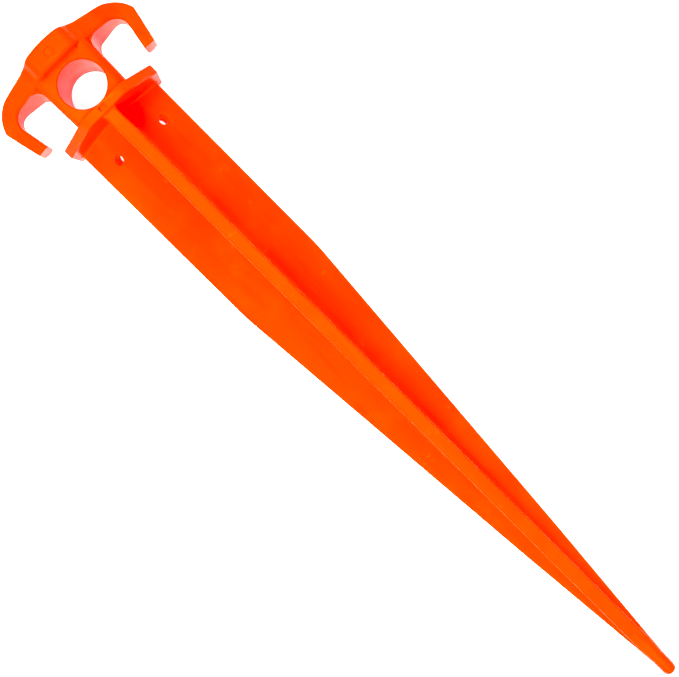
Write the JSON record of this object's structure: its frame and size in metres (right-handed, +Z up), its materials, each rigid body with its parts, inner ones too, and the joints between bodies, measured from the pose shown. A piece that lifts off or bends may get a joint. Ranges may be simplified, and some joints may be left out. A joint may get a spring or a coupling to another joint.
{
  "type": "tent stake",
  "caption": "Moulded plastic ground stake with a domed striking head, rope hooks, a guy-line eye, a stop collar and a tapering finned shaft.",
  "frame": {"origin": "bottom centre of the whole stake as it lies on its back, on the plane of the striking boss's back face; the shaft's axis is 18 mm above it", "axes": "+X along the shaft from the striking dome to the point, +Y across the two hooks, +Z up, from the back to the front fin"},
  "size_m": [0.3048, 0.0618, 0.036],
  "materials": {
    "orange_plastic": "satin-gloss through-coloured moulded plastic, blaze orange"
  },
  "bodies": {
    "root": {"strike_boss": "orange_plastic", "left_arm": "orange_plastic", "right_arm": "orange_plastic", "left_elbow": "orange_plastic", "right_elbow": "orange_plastic", "left_prong": "orange_plastic", "right_prong": "orange_plastic", "eye_neck": "orange_plastic", "collar": "orange_plastic", "front_fin_foot": "orange_plastic", "front_fin": "orange_plastic", "left_fin": "orange_plastic", "right_fin": "orange_plastic", "driving_point": "orange_plastic"}
  },
  "joints": []
}
